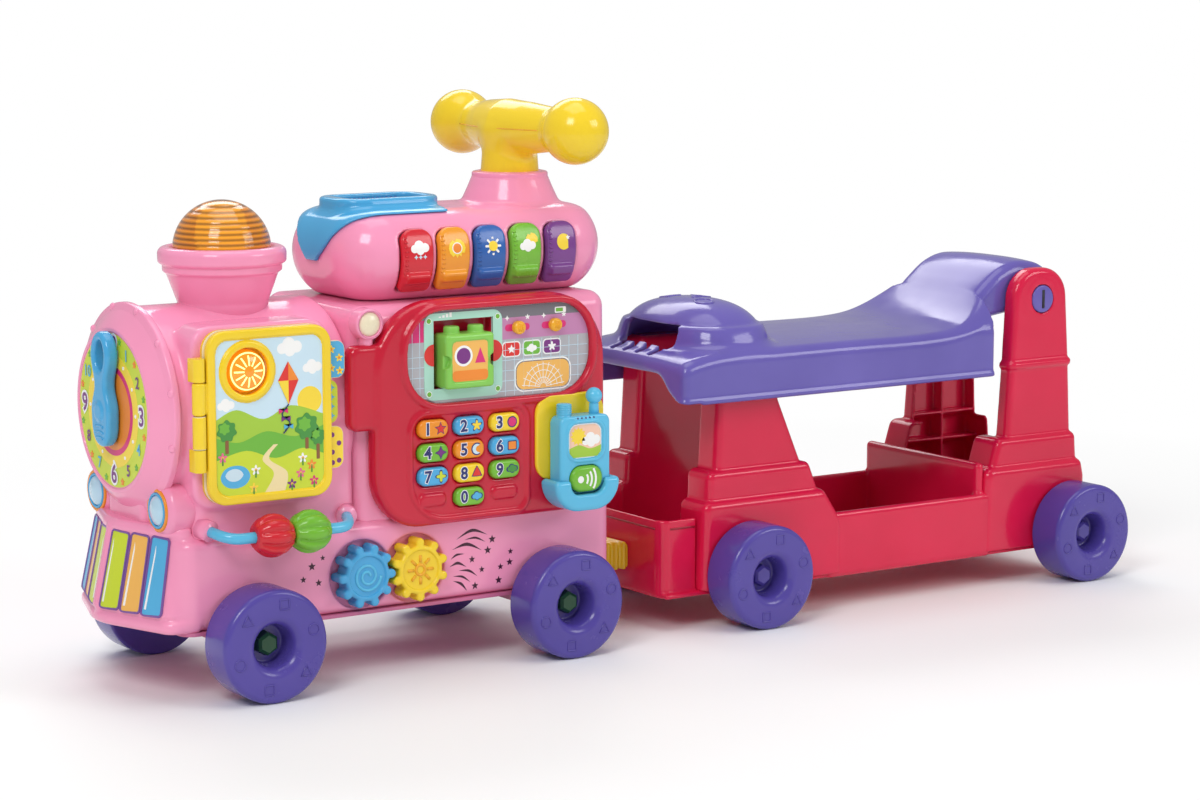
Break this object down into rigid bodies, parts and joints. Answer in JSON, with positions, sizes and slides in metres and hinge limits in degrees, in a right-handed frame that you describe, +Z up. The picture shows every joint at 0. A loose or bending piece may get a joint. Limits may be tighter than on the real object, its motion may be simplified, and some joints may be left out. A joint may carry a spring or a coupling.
{
  "type": "ride-on train",
  "caption": "Ride-on toy train: an engine with push handle, activity book, clock, gears, beads and phone panel, hinged to a wagon with a lift-up seat.",
  "frame": {"origin": "centre of the overall box, on the floor under the wheels", "axes": "+X from the nose to the wagon's tail, -Y towards the activity side, +Z up"},
  "size_m": [1.0074, 0.25, 0.468],
  "materials": {
    "pink_shell": "gloss",
    "deep_pink": "gloss",
    "red_plastic": "gloss",
    "purple_plastic": "gloss",
    "yellow_plastic": "gloss",
    "blue_plastic": "gloss",
    "light_blue_plastic": "gloss",
    "green_plastic": "gloss",
    "orange_plastic": "gloss",
    "amber_lens": "gloss",
    "paper_white": "satin",
    "screen_print": "gloss",
    "steel": "satin",
    "dark_plastic": "matte",
    "board_green": "satin"
  },
  "bodies": {
    "engine": {"engine_base": "pink_shell", "base_plate": "deep_pink", "battery_door": "pink_shell", "boiler_shell": "pink_shell", "chimney": "pink_shell", "dome_lens": "amber_lens", "cab_shell": "pink_shell", "console_shell": "pink_shell", "block_chute": "blue_plastic", "push_handle": "yellow_plastic", "book_back": "yellow_plastic", "bead_rod": "light_blue_plastic", "phone_panel": "red_plastic", "screen_plate": "screen_print", "cradle_back": "yellow_plastic", "cradle_pocket": "light_blue_plastic", "speaker": "dark_plastic", "circuit_board": "board_green", "body_screws": "steel"},
    "wagon": {"hitch_bar": "yellow_plastic", "wagon_tub": "red_plastic", "front_legs": "red_plastic", "rear_posts": "red_plastic"},
    "clock_hand": {"clock_hand": "blue_plastic"},
    "book_page": {"book_page": "paper_white"},
    "book_cover": {"book_cover": "yellow_plastic"},
    "light_button": {"light_button": "amber_lens"},
    "bead_red": {"bead_red": "red_plastic"},
    "bead_green": {"bead_green": "green_plastic"},
    "gear_blue": {"gear_blue": "blue_plastic"},
    "gear_yellow": {"gear_yellow": "yellow_plastic"},
    "volume_slider": {"volume_slider": "yellow_plastic"},
    "mode_slider": {"mode_slider": "yellow_plastic"},
    "building_block": {"building_block": "green_plastic"},
    "handset": {"handset": "light_blue_plastic"},
    "handset_button": {"handset_button": "green_plastic"},
    "seat": {"seat": "purple_plastic"},
    "number_key_0": {"number_key_0": "green_plastic"},
    "number_key_1": {"number_key_1": "orange_plastic"},
    "number_key_2": {"number_key_2": "blue_plastic"},
    "number_key_3": {"number_key_3": "yellow_plastic"},
    "number_key_4": {"number_key_4": "green_plastic"},
    "number_key_5": {"number_key_5": "orange_plastic"},
    "number_key_6": {"number_key_6": "blue_plastic"},
    "number_key_7": {"number_key_7": "blue_plastic"},
    "number_key_8": {"number_key_8": "yellow_plastic"},
    "number_key_9": {"number_key_9": "green_plastic"},
    "tune_key_1": {"tune_key_1": "red_plastic"},
    "tune_key_2": {"tune_key_2": "orange_plastic"},
    "tune_key_3": {"tune_key_3": "blue_plastic"},
    "tune_key_4": {"tune_key_4": "green_plastic"},
    "tune_key_5": {"tune_key_5": "purple_plastic"},
    "engine_front_wheelset": {"engine_front_wheels": "purple_plastic", "engine_front_axle": "steel"},
    "engine_rear_wheelset": {"engine_rear_wheels": "purple_plastic", "engine_rear_axle": "steel"},
    "wagon_front_wheelset": {"wagon_front_wheels": "purple_plastic", "wagon_front_axle": "steel"},
    "wagon_rear_wheelset": {"wagon_rear_wheels": "purple_plastic", "wagon_rear_axle": "steel"}
  },
  "joints": [
    {"name": "engine_front_roll", "type": "hinge", "parent": "engine", "child": "engine_front_wheelset", "pos_m": [-0.408, 0, 0.046], "axis": [0, 1, 0], "continuous": true},
    {"name": "engine_rear_roll", "type": "hinge", "parent": "engine", "child": "engine_rear_wheelset", "pos_m": [-0.123, 0, 0.046], "axis": [0, 1, 0], "continuous": true},
    {"name": "wagon_front_roll", "type": "hinge", "parent": "wagon", "child": "wagon_front_wheelset", "pos_m": [0.081, 0, 0.046], "axis": [0, 1, 0], "continuous": true},
    {"name": "wagon_rear_roll", "type": "hinge", "parent": "wagon", "child": "wagon_rear_wheelset", "pos_m": [0.458, 0, 0.046], "axis": [0, 1, 0], "continuous": true},
    {"name": "hitch_yaw", "type": "hinge", "parent": "engine", "child": "wagon", "pos_m": [-0.041, 0, 0.0595], "axis": [0, 0, 1], "range_deg": [-25, 25]},
    {"name": "seat_lift", "type": "hinge", "parent": "wagon", "child": "seat", "pos_m": [0.431, 0, 0.265], "axis": [0, 1, 0], "range_deg": [0, 95]},
    {"name": "clock_turn", "type": "hinge", "parent": "engine", "child": "clock_hand", "pos_m": [-0.493, 0, 0.226], "axis": [1, 0, 0], "continuous": true},
    {"name": "book_open", "type": "hinge", "parent": "engine", "child": "book_cover", "pos_m": [-0.4575, -0.0945, 0.23], "axis": [0, 0, -1], "range_deg": [0, 150]},
    {"name": "page_turn", "type": "hinge", "parent": "engine", "child": "book_page", "pos_m": [-0.4575, -0.0945, 0.23], "axis": [0, 0, -1], "range_deg": [0, 75]},
    {"name": "light_press", "type": "slide", "parent": "engine", "child": "light_button", "axis": [0, 1, 0], "range_m": [0, 0.002], "stiffness_N_per_m": 300},
    {"name": "bead_red_spin", "type": "hinge", "parent": "engine", "child": "bead_red", "pos_m": [-0.401, -0.106, 0.132], "axis": [1, 0, 0], "continuous": true},
    {"name": "bead_green_spin", "type": "hinge", "parent": "engine", "child": "bead_green", "pos_m": [-0.368, -0.106, 0.132], "axis": [1, 0, 0], "continuous": true},
    {"name": "gear_blue_turn", "type": "hinge", "parent": "engine", "child": "gear_blue", "pos_m": [-0.3085, -0.087, 0.0865], "axis": [0, 1, 0], "continuous": true},
    {"name": "gear_yellow_turn", "type": "hinge", "parent": "engine", "child": "gear_yellow", "pos_m": [-0.2585, -0.087, 0.0865], "axis": [0, 1, 0], "continuous": true},
    {"name": "volume_slide", "type": "slide", "parent": "engine", "child": "volume_slider", "axis": [1, 0, 0], "range_m": [-0.005, 0.005]},
    {"name": "mode_slide", "type": "slide", "parent": "engine", "child": "mode_slider", "axis": [1, 0, 0], "range_m": [-0.005, 0.005]},
    {"name": "block_lift_out", "type": "slide", "parent": "engine", "child": "building_block", "axis": [0, -1, 0], "range_m": [0, 0.045]},
    {"name": "handset_lift", "type": "slide", "parent": "engine", "child": "handset", "axis": [0, -0.342, 0.9397], "range_m": [0, 0.07]},
    {"name": "call_press", "type": "slide", "parent": "handset", "child": "handset_button", "axis": [0, 1, 0], "range_m": [0, 0.0012], "stiffness_N_per_m": 300},
    {"name": "number_0_press", "type": "slide", "parent": "engine", "child": "number_key_0", "axis": [0, 1, 0], "range_m": [0, 0.0015], "stiffness_N_per_m": 300},
    {"name": "number_1_press", "type": "slide", "parent": "engine", "child": "number_key_1", "axis": [0, 1, 0], "range_m": [0, 0.0015], "stiffness_N_per_m": 300},
    {"name": "number_2_press", "type": "slide", "parent": "engine", "child": "number_key_2", "axis": [0, 1, 0], "range_m": [0, 0.0015], "stiffness_N_per_m": 300},
    {"name": "number_3_press", "type": "slide", "parent": "engine", "child": "number_key_3", "axis": [0, 1, 0], "range_m": [0, 0.0015], "stiffness_N_per_m": 300},
    {"name": "number_4_press", "type": "slide", "parent": "engine", "child": "number_key_4", "axis": [0, 1, 0], "range_m": [0, 0.0015], "stiffness_N_per_m": 300},
    {"name": "number_5_press", "type": "slide", "parent": "engine", "child": "number_key_5", "axis": [0, 1, 0], "range_m": [0, 0.0015], "stiffness_N_per_m": 300},
    {"name": "number_6_press", "type": "slide", "parent": "engine", "child": "number_key_6", "axis": [0, 1, 0], "range_m": [0, 0.0015], "stiffness_N_per_m": 300},
    {"name": "number_7_press", "type": "slide", "parent": "engine", "child": "number_key_7", "axis": [0, 1, 0], "range_m": [0, 0.0015], "stiffness_N_per_m": 300},
    {"name": "number_8_press", "type": "slide", "parent": "engine", "child": "number_key_8", "axis": [0, 1, 0], "range_m": [0, 0.0015], "stiffness_N_per_m": 300},
    {"name": "number_9_press", "type": "slide", "parent": "engine", "child": "number_key_9", "axis": [0, 1, 0], "range_m": [0, 0.0015], "stiffness_N_per_m": 300},
    {"name": "tune_1_press", "type": "hinge", "parent": "engine", "child": "tune_key_1", "pos_m": [-0.244, -0.05435, 0.35941], "axis": [1, 0, 0], "range_deg": [0, 4], "stiffness_Nm_per_rad": 1},
    {"name": "tune_2_press", "type": "hinge", "parent": "engine", "child": "tune_key_2", "pos_m": [-0.209, -0.05435, 0.35941], "axis": [1, 0, 0], "range_deg": [0, 4], "stiffness_Nm_per_rad": 1},
    {"name": "tune_3_press", "type": "hinge", "parent": "engine", "child": "tune_key_3", "pos_m": [-0.174, -0.05435, 0.35941], "axis": [1, 0, 0], "range_deg": [0, 4], "stiffness_Nm_per_rad": 1},
    {"name": "tune_4_press", "type": "hinge", "parent": "engine", "child": "tune_key_4", "pos_m": [-0.139, -0.05435, 0.35941], "axis": [1, 0, 0], "range_deg": [0, 4], "stiffness_Nm_per_rad": 1},
    {"name": "tune_5_press", "type": "hinge", "parent": "engine", "child": "tune_key_5", "pos_m": [-0.104, -0.05435, 0.35941], "axis": [1, 0, 0], "range_deg": [0, 4], "stiffness_Nm_per_rad": 1}
  ],
  "couplings": [
    {"joint": "page_turn", "follows": "book_open", "ratio": 0.5},
    {"joint": "gear_yellow_turn", "follows": "gear_blue_turn", "ratio": -1}
  ]
}
